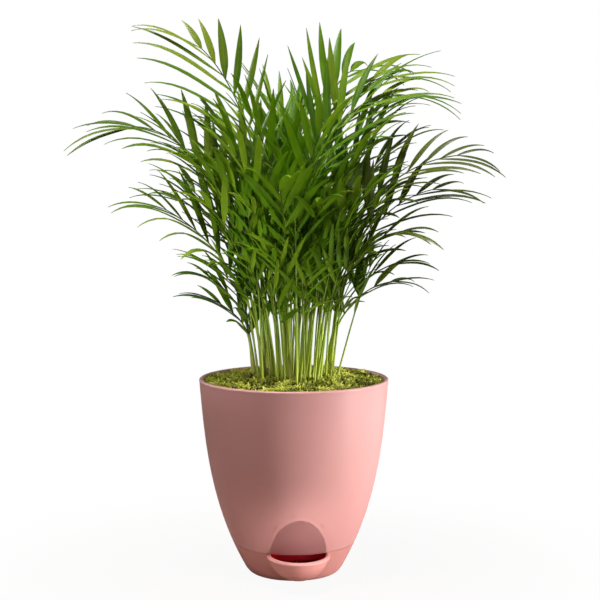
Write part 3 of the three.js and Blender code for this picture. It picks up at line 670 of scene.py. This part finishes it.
def moss():
    """The cushion: a lumpy bed, and short curled strands that stand out of it in tufts; the bed and the
    strands' feet are painted dark as painted shade.
    """
    rng = random.Random(7)
    shape = Shape("tint")
    edge = inside(MOSS_EDGE) - GAP - 0.1
    sides, rings = 96, 30
    bed = [
        (r * math.cos(t), r * math.sin(t))
        for r in (edge * ring / rings for ring in range(1, rings + 1))
        for t in turns_of(sides)
    ]
    places = [(x, y, moss_height(x, y)) for x, y in bed]
    places += [(x, y, MOSS_UNDERSIDE) for x, y in bed[-sides:]]
    faces = tube_faces(rings + 1, sides)[1:]
    faces = [tuple(reversed(face)) for face in faces]
    places.append((0, 0, moss_height(0, 0)))
    faces += [(k, (k + 1) % sides, len(places) - 1) for k in range(sides)]
    # the bed under the strands is painted nearly black: painted shade
    shape.add(places, faces, {"tint": [0.06] * len(places)})
    stems = [at for at, *_ in STEMS]
    for _ in range(MOSS_STRANDS):
        r, t = (edge - 1.5) * math.sqrt(rng.random()), 2 * math.pi * rng.random()
        x, y = r * math.cos(t), r * math.sin(t)
        if any(math.hypot(x - a, y - b) < STEM_RADIUS + 0.8 for a, b in stems):
            continue
        moss_strand(shape, rng, x, y, edge)
    return shape.piece("moss_cushion", 60)


def moss_strand(shape, rng, x, y, edge):
    """One strand: a slim three-sided blade that leans, curls over and thins out to its tip."""
    place = Vector((x, y, moss_height(x, y) - 0.8))
    patch = noise.noise(Vector((x, y, 20)) / 14)
    way = direction(360 * rng.random(), 20 + 55 * rng.random())
    drift = direction(360 * rng.random(), 90) * 0.9
    length = mix(*STRAND_LENGTH, rng.random()) * (1 + 0.4 * patch)
    width = mix(*STRAND_WIDTH, rng.random())
    tint = min(1, max(0.12, 0.62 + 0.55 * patch + 0.6 * (rng.random() - 0.5)))
    rings = []
    for k, thin in enumerate(STRAND_THINNING):
        rings += around(place, way, width * thin, 3)
        way = (way + drift * 0.45 - Vector((0, 0, 0.12 * k))).normalized()
        place = place + way * (length / 3)
        wall = math.hypot(place.x, place.y)
        if wall > edge - 0.6:
            place = Vector((place.x * (edge - 0.6) / wall, place.y * (edge - 0.6) / wall, place.z))
    # each strand is painted darker towards its foot: painted shade inside the cushion
    painted_shades = [tint * shade for shade in STRAND_PAINTED_SHADE for _ in range(3)]
    shape.add([*rings, place], pointed(3, 3), {"tint": [*painted_shades, tint]})


# ---- palms ----

def rib_path(stem, frond, order):
    """A frond's rib from inside its stem's sheath to the tip: place, way, level and inner at each step."""
    at, lean_way, sheath, _ = stem
    heading, lean, tip_lean, length, bend = frond[:5]
    stem_way = direction(*lean_way)
    turn = math.radians(heading)
    sideways = Vector((-math.sin(turn), math.cos(turn), 0))
    start = sheath * (1 - SHEATH_STEP * order) - SHEATH_SINK
    step = (length - start) / RIB_STEPS
    place = Vector((*at, STEM_FOOT)) + stem_way * start
    path = []
    for k in range(RIB_STEPS + 1):
        along = start + k * step
        leaning = lean + (tip_lean - lean) * (max(along, 0) / length) ** bend
        way = stem_way.lerp(direction(heading, leaning), smoothstep(along - start, 0, TURN)).normalized()
        level = (sideways - way * sideways.dot(way)).normalized()
        path.append((place.copy(), way, level, way.cross(level)))
        place += way * step
    return path


def spot_on(path, share):
    at = share * RIB_STEPS
    k = min(int(at), RIB_STEPS - 1)
    return [a.lerp(b, at - k) for a, b in zip(path[k], path[k + 1])]


def stalk(stem, path, order):
    """Rings of a frond's base, stalk and rib, as one tapering piece from under the moss to the tip, and how
    far along it each ring is."""
    at, lean_way, sheath, _ = stem
    stem_way = direction(*lean_way)
    foot = Vector((*at, STEM_FOOT))
    start = sheath * (1 - SHEATH_STEP * order) - SHEATH_SINK
    swell = SHEATH_SWELL * (order + 1)
    rings, shares = [], []
    for z in (SOCKET_FLOOR, STEM_FOOT - 6, STEM_FOOT - 1):
        rings.append(around(Vector((*at, z)), UP, BASE_RADIUS + swell, STALK_SIDES))
        shares.append(0)
    for k in range(1, 6):
        along = start * k / 6
        radius = mix(BASE_RADIUS, SHEATH_RADIUS, along / sheath) + swell
        rings.append(around(foot + stem_way * along, stem_way, radius, STALK_SIDES))
        shares.append(along / 1000)
    top = mix(BASE_RADIUS, SHEATH_RADIUS, start / sheath) + swell
    for k, (place, way, *_) in enumerate(path):
        share = k / RIB_STEPS
        slim = mix(STALK_RADIUS, TIP_RADIUS, share)
        wrapped = smoothstep(share * (path[1][0] - path[0][0]).length * RIB_STEPS, 0, 38)
        rings.append(around(place, way, mix(top, slim, wrapped), STALK_SIDES))
        shares.append(mix(start / 1000, 1, share))
    return rings, shares


def leaflet_specs(frond, path, rng, rank):
    """The leaflets of a frond, in nearly opposite pairs: where each is rooted and how it is held."""
    length, leafed, size, roll = frond[3], frond[5], frond[6], frond[7]
    tail = frond[8] if len(frond) > 8 else 0
    pairs = max(4, round(length * leafed / PAIR_SPACING[rank]))
    whole = (path[1][0] - path[0][0]).length * RIB_STEPS
    first = 1 - length * leafed / whole
    specs = []
    for k in range(pairs):
        for side in (1, -1):
            share = min(max(k / (pairs - 1) + side * 0.12 / pairs * (k > 0) * (k < pairs - 1), 0), 1)
            specs.append({
                "side": side,
                "root": spot_on(path, mix(first, 0.995, share)),
                "open": mix(*LEAFLET_OPEN, share) + 7 * (rng.random() - 0.5),
                "raise": mix(*LEAFLET_RAISE, share) - roll * side * mix(*ROLL_LEFT, share)
                + 6 * (rng.random() - 0.5),
                "length": size * (mix(*LEAFLET_LENGTHS, share) + LEAFLET_SWELL * math.sin(math.pi * share))
                * (1 + roll * side * mix(*LOWER_LONGER, share)) * (1 + tail * share ** 4),
                "droop": mix(*LEAFLET_DROOP, rng.random()),
                "twist": math.radians(30 * (rng.random() - 0.5)),
                "width": LEAFLET_WIDTH[rank] * mix(0.86, 1.04, rng.random()) * mix(1, 0.8, share ** 2),
                "tint": rng.random(),
            })
    return specs


def leaflet_rings(spec, swing, shrink):
    """A leaflet as rings of corners, five over its upper side and three under it, and its tip."""
    place, rib_way, level, inner = spec["root"]
    raised, opened = math.radians(spec["raise"] + swing), math.radians(spec["open"])
    out = level * (spec["side"] * math.cos(raised)) + inner * math.sin(raised)
    heading = rib_way * math.cos(opened) + out * math.sin(opened)
    face = out.cross(rib_way) * -spec["side"]
    face = Vector((face.x, face.y, face.z + FACE_UP)).normalized()
    length = spec["length"] * shrink
    drop = 1.5 * spec["droop"] * math.hypot(heading.x, heading.y)
    rings = []
    place = place.copy()
    before = 0
    for share in (*STATIONS, 1):
        middle = (share + before) / 2
        way = heading + rib_way * (LEAFLET_CURL * middle) - Vector((0, 0, drop * middle ** 2.2))
        way.normalize()
        place = place + way * (length * (share - before))
        before = share
        if share == 1:
            rings.append([place])
            break
        across = way.cross(face).normalized()
        across = Matrix.Rotation(spec["twist"] * share, 3, way) @ across
        over = across.cross(way)
        broad = along_curve(WIDTHS, share)
        half = spec["width"] * broad / 2
        fold = LEAFLET_FOLD * min(1, broad + 0.2)
        thick = LEAFLET_THICKNESS * mix(1.6, 1, min(1, share * 6))
        slope = 0.72 * fold
        heights = (0, slope, fold, slope, 0, slope - thick, fold - 1.3 * thick, slope - thick)
        rings.append([place + across * (x * half) + over * y for x, y in zip(LEAFLET_ACROSS, heights)])
    return rings


def leaflet_mesh(rings):
    """Corners and faces of a leaflet, all of it closed."""
    return [place for ring in rings for place in ring], pointed(len(rings) - 1, len(LEAFLET_ACROSS))


def in_room(place):
    return all(low <= value <= high for low, value, high in zip(ROOM[0], place, ROOM[1]))


class Reach:
    """A piece of foliage for telling whether another would cross it."""

    def __init__(self, places, faces, frond, leaflet=False):
        self.frond = frond
        self.leaflet = leaflet
        self.low = [min(place[k] for place in places) for k in range(3)]
        self.high = [max(place[k] for place in places) for k in range(3)]
        self.tree = BVHTree.FromPolygons(places, faces)

    def crosses(self, other):
        near = all(self.low[k] <= other.high[k] and other.low[k] <= self.high[k] for k in range(3))
        return near and bool(self.tree.overlap(other.tree))


def place_leaflet(spec, frond, pieces):
    """A leaflet as its own rule puts it, or bent or shortened until it crosses nothing."""
    for shrink in SHRINKS:
        for swing in SWINGS:
            rings = leaflet_rings(spec, swing, shrink)
            places, faces = leaflet_mesh(rings)
            if any(not in_room(place) for place in places):
                continue
            clear = [tuple(c - ROOTED for c in face) for face in faces if min(face) >= ROOTED]
            probe = Reach(places[ROOTED:], clear, frond, leaflet=True)
            if not any(probe.crosses(piece) for piece in pieces if piece.frond is not frond or piece.leaflet):
                pieces.append(probe)
                return places, faces
    return None


def shoot(rng, pieces):
    """A single young frond that comes up between the stems and fans outwards with them, or None where it
    would cross another."""
    drawn = {label: mix(*ends, rng.random()) for label, ends in SHOOTS.items() if isinstance(ends, tuple)}
    turn = 360 * rng.random()
    heading = turn + drawn["turn"]
    x, y = (drawn["ring"] * part for part in (math.cos(math.radians(turn)), math.sin(math.radians(turn))))
    lean = drawn["lean"] * (0.4 + drawn["ring"] / SHOOTS["ring"][1])
    frond = (heading, lean, drawn["tip_lean"], drawn["length"], drawn["bend"],
             drawn["leafed"], drawn["leaflet"], drawn["roll"])
    path = rib_path(((x, y), (heading, lean), 0, [frond]), frond, 0)
    tip = path[-1][0]
    if math.hypot(tip.x / SHOOT_REACH[0], tip.y / SHOOT_REACH[1]) > 1:
        return None
    shares = [k / RIB_STEPS for k in range(len(path))]
    rings = [around(place, way, mix(SHOOT_RADIUS, TIP_RADIUS, share), STALK_SIDES)
             for (place, way, *_), share in zip(path, shares)]
    places = [corner for ring in rings for corner in ring]
    reach = Reach(places, tube_faces(len(rings), STALK_SIDES), frond)
    if any(reach.crosses(piece) for piece in pieces):
        return None
    return frond, path, rings, shares


def olive_and_shade_of(tip):
    """How dark olive a frond is painted, partly the colour of older fronds and partly painted shade: most
    where it hangs low at the right, and some at the far left.
    """
    low_right = 0.95 * smoothstep(tip.x, 30, 130) * smoothstep(-tip.z, -520, -440)
    return max(low_right, 0.55 * smoothstep(-tip.x, 50, 120))


def palms():
    """Each leafy stem with its fronds, and with the shoots that come up nearest to it."""
    rng = random.Random(21)
    labels = ("along", "across", "tint", "olive_and_shade", "stalk", "under")
    shapes = [Shape(*labels) for _ in STEMS]
    fronds, pieces = [], []

    def keep(number, order, frond, path, rings, shares):
        places = [place for ring in rings for place in ring]
        faces = tube_faces(len(rings), STALK_SIDES)
        olive_and_shade = olive_and_shade_of(path[-1][0])
        # stalks standing at the left may be painted darker than those at the right: painted shade by side
        darkest_side_shade = mix(0.7, 0.4, smoothstep(path[0][0].x, -15, 35))
        shapes[number].add(places, faces, {
            "along": [share for share in shares for _ in range(STALK_SIDES)],
            "across": [0] * len(places),
            "tint": [rng.random() * darkest_side_shade] * len(places),
            "olive_and_shade": [olive_and_shade] * len(places),
            "stalk": [1] * len(places),
            "under": [0] * len(places),
        })
        pieces.append(Reach(places, faces, frond))
        fronds.append((order, number, frond, path, olive_and_shade))

    for number, stem in enumerate(STEMS):
        for order, frond in enumerate(stem[3]):
            path = rib_path(stem, frond, order)
            keep(number, order, frond, path, *stalk(stem, path, order))
    for _ in range(SHOOTS["count"]):
        young = next(filter(None, (shoot(rng, pieces) for _ in range(SHOOTS["tries"]))), None)
        if young:
            foot = young[1][0][0]
            near = min(range(len(STEMS)), key=lambda k: math.dist(STEMS[k][0], foot[:2]))
            keep(near, len(STEMS), *young)
    fronds.sort(key=lambda entry: entry[0])
    left_out = 0
    for order, number, frond, path, olive_and_shade in fronds:
        for spec in leaflet_specs(frond, path, rng, min(order, 1) if order < len(STEMS) else 2):
            made = place_leaflet(spec, frond, pieces)
            if not made:
                left_out += 1
                continue
            places, faces = made
            rings = len(STATIONS)
            root = spec["root"][0]
            # leaflets high up and far from the middle are painted lighter, and low inner ones darker: painted
            # light and shade
            light = smoothstep(root.z, 300, 560) + 0.5 * smoothstep(math.hypot(root.x, root.y), 40, 150)
            tint = min(1, 0.1 + 0.55 * spec["tint"] + 0.2 * light)
            shapes[number].add(places, faces, {
                "along": [share for share in STATIONS for _ in LEAFLET_ACROSS] + [1],
                "across": [*(LEAFLET_ACROSS * rings), 0],
                "tint": [tint] * len(places),
                "olive_and_shade": [olive_and_shade] * len(places),
                "stalk": [0] * len(places),
                "under": [*(LEAFLET_UNDER * rings), 0],
            })
    print("leaflets:", len(pieces) - len(fronds), "left out:", left_out)
    return [shape.piece(f"palm_{number + 1:02d}_fronds", 55) for number, shape in enumerate(shapes)]


def dry_stub():
    """The stem that died back: a shrunken, ribbed stump with a torn top."""
    rng = random.Random(5)
    shape = Shape("along")
    way = direction(*STUB["lean"])
    foot = Vector((*STUB["at"], STEM_FOOT))
    rings, notes = [], []
    sides = 14
    shares = (-3.2, -0.2, 0, 0.15, 0.3, 0.45, 0.6, 0.75, 0.88, 1)
    for share in shares:
        radius = STUB["radius"] * mix(0.96, 0.72, max(share, 0))
        middle = foot + way * (STUB["height"] * share)
        ring = around(middle, way, radius, sides)
        torn = 0 if share < 1 else 1
        rings += [
            middle + (corner - middle) * (1 - 0.09 * (k % 2)) - way * (torn * 2.4 * rng.random())
            for k, corner in enumerate(ring)
        ]
        notes += [max(share, 0)] * sides
    shape.add(rings, tube_faces(len(shares), sides), {"along": notes})
    return shape.piece("dry_stub_torn", 50)


# ---- materials ----

def wire(tree, kind, inputs=None, **settings):
    """A new shader node with its settings, and with values or other nodes' outputs on its inputs."""
    made = tree.nodes.new("ShaderNode" + kind)
    for setting, value in settings.items():
        setattr(made, setting, value)
    for socket, value in (inputs or {}).items():
        if isinstance(value, bpy.types.NodeSocket):
            tree.links.new(value, made.inputs[socket])
        else:
            made.inputs[socket].default_value = value
    return made


def new_material(name, **sockets):
    material = bpy.data.materials.new(name)
    material.use_nodes = True
    shader = material.node_tree.nodes["Principled BSDF"]
    for socket, value in sockets.items():
        shader.inputs[socket.replace("_", " ")].default_value = value
    return material, material.node_tree, shader


def ramp(tree, value, stops):
    made = wire(tree, "ValToRGB", {"Fac": value})
    elements = made.color_ramp.elements
    while len(elements) < len(stops):
        elements.new(0.5)
    for element, (at, colour) in zip(elements, stops):
        element.position = at
        element.color = (*colour, 1)
    return made.outputs["Color"]


def blend(tree, share, first, second):
    made = wire(tree, "Mix", data_type="RGBA")
    for socket, value in ((0, share), (6, first), (7, second)):
        if isinstance(value, bpy.types.NodeSocket):
            tree.links.new(value, made.inputs[socket])
        else:
            made.inputs[socket].default_value = value if socket == 0 else (*value, 1)
    return made.outputs[2]


def reckon(tree, operation, first, second=0.0):
    return wire(tree, "Math", {0: first, 1: second}, operation=operation).outputs[0]


def attribute(tree, label):
    return wire(tree, "Attribute", attribute_name=label).outputs["Fac"]


def noise_of(tree, scale, detail=3.0, roughness=0.55):
    place = wire(tree, "TexCoord").outputs["Object"]
    made = wire(tree, "TexNoise", {"Vector": place, "Scale": scale, "Detail": detail, "Roughness": roughness})
    return made.outputs["Fac"]


def ranged(tree, value, start, end, **settings):
    """A value carried over from the range start to the range end."""
    inputs = {"Value": value, "From Min": start[0], "From Max": start[1], "To Min": end[0], "To Max": end[1]}
    return wire(tree, "MapRange", inputs, **settings).outputs[0]


def coat(tree, shader, colour, height, distance, strength=1.0):
    """Gives a shader its colour, and a bump of a distance in metres."""
    bump = wire(tree, "Bump", {"Height": height, "Distance": distance, "Strength": strength})
    tree.links.new(colour, shader.inputs["Base Color"])
    tree.links.new(bump.outputs["Normal"], shader.inputs["Normal"])


def plastic(name, light, dark):
    """Satin moulded plastic with a hardly visible mottle, and a deep red painted shade on its faces inside
    the reservoir, standing in for light bounced between its pink walls.
    """
    material, tree, shader = new_material(name)
    mottle = noise_of(tree, 22)
    # faces inside the reservoir are painted deep red: painted shade
    colour = blend(tree, attribute(tree, "inner"), blend(tree, mottle, light, dark), RESERVOIR_SHADE_RED)
    grain = noise_of(tree, 2200, 2)
    tree.links.new(ranged(tree, grain, (0, 1), (0.38, 0.5)), shader.inputs["Roughness"])
    coat(tree, shader, colour, grain, 0.00004, 0.5)
    return material


def soil_material():
    material, tree, shader = new_material("potting_soil_dark", Roughness=0.95)
    crumbs = noise_of(tree, 260, 6, 0.7)
    colour = ramp(tree, crumbs, [(0.3, (0.008, 0.005, 0.003)), (0.7, (0.06, 0.035, 0.018))])
    coat(tree, shader, colour, crumbs, 0.002)
    return material


def moss_material():
    material, tree, shader = new_material("moss_green", Roughness=0.85)
    tint = attribute(tree, "tint")
    colour = ramp(tree, tint, [
        (0.05, (0.016, 0.012, 0.002)),
        (0.3, (0.13, 0.14, 0.012)),
        (0.6, (0.58, 0.62, 0.05)),
        (1, (0.85, 0.85, 0.18)),
    ])
    brown = ranged(tree, noise_of(tree, 45), (0.56, 0.72), (0, 1))
    colour = blend(tree, reckon(tree, "MULTIPLY", brown, 0.5), colour, (0.14, 0.085, 0.03))
    coat(tree, shader, colour, noise_of(tree, 900), 0.0004)
    return material


def frond_material():
    """Leaflets with a pale midrib, fine veins and light that comes through, on smooth stalks that are
    yellow-green at the foot and dark towards the tip."""
    material, tree, shader = new_material("palm_leaf_green", Roughness=0.42, Specular_IOR_Level=0.4)
    along, across = attribute(tree, "along"), attribute(tree, "across")
    tint, olive_and_shade = attribute(tree, "tint"), attribute(tree, "olive_and_shade")
    patches = noise_of(tree, 60)
    # the leaflets' tint holds painted light and shade by height and place, as well as random tone
    mixed = reckon(tree, "ADD", tint, reckon(tree, "MULTIPLY", reckon(tree, "SUBTRACT", patches, 0.5), 0.5))
    fresh = ramp(tree, mixed, [
        (0, (0.03, 0.13, 0.002)),
        (0.5, (0.165, 0.355, 0.007)),
        (1, (0.53, 0.65, 0.05)),
    ])
    # dark olive, partly the colour of older fronds and partly painted shade
    aged_and_shaded = ramp(tree, mixed, [(0, (0.024, 0.04, 0.002)), (1, (0.12, 0.145, 0.01))])
    blade = blend(tree, olive_and_shade, fresh, aged_and_shaded)
    off_middle = reckon(tree, "ABSOLUTE", across)
    midrib = ranged(tree, off_middle, (0.05, 0.16), (0.55, 0))
    blade = blend(tree, midrib, blade, (0.26, 0.38, 0.02))
    under = reckon(tree, "MULTIPLY", attribute(tree, "under"), 0.3)
    blade = blend(tree, under, blade, (0.15, 0.26, 0.02))
    dry = ranged(tree, along, (0.93, 1), (0, 1))
    blade = blend(tree, reckon(tree, "MULTIPLY", dry, 0.8), blade, (0.2, 0.13, 0.05))
    stalk_colour = ramp(tree, along, [
        (0, (0.75, 0.75, 0.14)),
        (0.05, (0.62, 0.72, 0.07)),
        (0.3, (0.26, 0.4, 0.015)),
        (0.75, (0.07, 0.11, 0.004)),
    ])
    # the stalks' tint holds painted shade by side, as well as random tone
    stalk_colour = blend(tree, reckon(tree, "MULTIPLY", tint, 0.85), stalk_colour, (0.06, 0.1, 0.006))
    is_stalk = attribute(tree, "stalk")
    colour = blend(tree, is_stalk, blade, stalk_colour)
    veins = reckon(tree, "SINE", reckon(tree, "MULTIPLY", across, 34.0))
    veins = reckon(tree, "MULTIPLY", veins, reckon(tree, "POWER", reckon(tree, "SUBTRACT", 1.0, along), 1.5))
    streaks = noise_of(tree, 700, 2)
    coat(tree, shader, colour, reckon(tree, "ADD", veins, streaks), 0.00005, 0.6)
    lit_through = blend(tree, 0.6, colour, (0.52, 0.72, 0.008))
    through = wire(tree, "BsdfTranslucent", {"Color": lit_through}).outputs[0]
    share = reckon(tree, "MULTIPLY", reckon(tree, "SUBTRACT", 1.0, is_stalk),
                   reckon(tree, "SUBTRACT", 0.42, reckon(tree, "MULTIPLY", olive_and_shade, 0.2)))
    output = tree.nodes["Material Output"]
    both = wire(tree, "MixShader", {0: share, 1: shader.outputs[0], 2: through}).outputs[0]
    tree.links.new(both, output.inputs["Surface"])
    return material


def stub_material():
    material, tree, shader = new_material("dry_stem_brown", Roughness=0.8)
    fibres = noise_of(tree, 320, 4)
    colour = ramp(tree, fibres, [(0.3, (0.07, 0.03, 0.012)), (0.7, (0.3, 0.17, 0.07))])
    coat(tree, shader, colour, fibres, 0.0006)
    return material


# ---- dressing ----

def dress(piece, material, node):
    piece.data.materials.clear()
    piece.data.materials.append(material)
    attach(piece, "root")
    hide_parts(node)


def dress_all():
    dress(pot_shell(), plastic("pot_plastic_pink", *POT_PINKS), "pot_shell")
    dress(reservoir_tray(), plastic("tray_plastic_pink", *TRAY_PINKS), "reservoir_tray")
    dress(moss(), moss_material(), "moss")
    green = frond_material()
    for number, palm in enumerate(palms()):
        dress(palm, green, f"palm_{number + 1:02d}")
    dress(dry_stub(), stub_material(), "dry_stub")
    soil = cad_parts["soil"]
    soil.data.materials.clear()
    soil.data.materials.append(soil_material())


# ---- studio ----

def studio_floor():
    """A pale floor that turns into the white of the background a few steps away."""
    shape = Shape()
    middle = Vector((0, 0, -0.0003)) / MM
    ring = around(middle, UP, FLOOR_RADIUS / MM, 96)
    shape.add(ring, [tuple(range(len(ring)))])
    floor = shape.piece("studio_floor")
    material, tree, shader = new_material("studio_floor_white", Roughness=0.9, Base_Color=FLOOR_COLOUR)
    place = wire(tree, "TexCoord").outputs["Object"]
    distance = wire(tree, "VectorMath", {0: place}, operation="LENGTH").outputs["Value"]
    far = ranged(tree, distance, (0.1, 0.45), (0.94, 1), interpolation_type="SMOOTHSTEP")
    seen = wire(tree, "LightPath").outputs["Is Camera Ray"]
    white = wire(tree, "Emission", {"Color": (1, 1, 1, 1), "Strength": 1.0}).outputs[0]
    share = reckon(tree, "MULTIPLY", far, seen)
    both = wire(tree, "MixShader", {0: share, 1: shader.outputs[0], 2: white}).outputs[0]
    tree.links.new(both, tree.nodes["Material Output"].inputs["Surface"])
    floor.data.materials.append(material)


def softbox(name, place, target, size, power, spread):
    """A lamp at a place, turned to a target, with its light held within spread degrees."""
    light = bpy.data.lights.new(name, "AREA")
    light.shape = "RECTANGLE"
    light.size, light.size_y = size
    light.energy = power
    light.spread = math.radians(spread)
    lamp = new_object(name, light)
    lamp.location = place
    lamp.rotation_euler = (Vector(target) - Vector(place)).to_track_quat("-Z", "Y").to_euler()
    lamp.visible_camera = False


def studio_light():
    world = bpy.data.worlds.new("studio_white")
    bpy.context.scene.world = world
    world.use_nodes = True
    tree = world.node_tree
    seen = wire(tree, "LightPath").outputs["Is Camera Ray"]
    strength = ranged(tree, seen, (0, 1), (AMBIENT, 1))
    tree.nodes["Background"].inputs["Color"].default_value = (1, 1, 1, 1)
    tree.links.new(strength, tree.nodes["Background"].inputs["Strength"])
    softbox("key_right", (1.56, -0.6, 0.24), (0, 0, 0.15), (0.6, 0.3), 1.3, 27)
    softbox("rim_right", (1.4, 0.6, 0.14), (0.02, 0, 0.14), (0.3, 0.3), 0.14, 16)
    softbox("niche_fill", (0.8, -1.4, 0.08), (-0.005, -0.08, 0.06), (0.05, 0.05), 0.007, 3)
    softbox("front_left", (-0.9, -1.3, 0.4), (-0.075, 0, 0.35), (0.1, 0.1), 0.14, 11)
    softbox("behind_left", (-1.1, 1.0, 0.9), (0, 0, 0.5), (0.5, 0.5), 0.62, 34)
    softbox("over_top", (-0.3, -0.3, 1.9), (0, -0.03, 0.2), (0.5, 0.5), 1.5, 30)


def camera():
    turn = math.radians(CAMERA["azimuth"])
    data = bpy.data.cameras.new("camera")
    data.lens = CAMERA["lens"]
    data.sensor_width = SENSOR_WIDTH
    view = new_object("camera", data)
    away = CAMERA["distance"]
    view.location = (away * math.sin(turn), -away * math.cos(turn), CAMERA["height"])
    view.rotation_euler = (math.radians(90 - CAMERA["pitch"]), 0, turn - math.radians(CAMERA["yaw"]))
    bpy.context.scene.camera = view


camera()
studio_floor()
studio_light()
dress_all()
bpy.context.scene.view_settings.view_transform = "Standard"
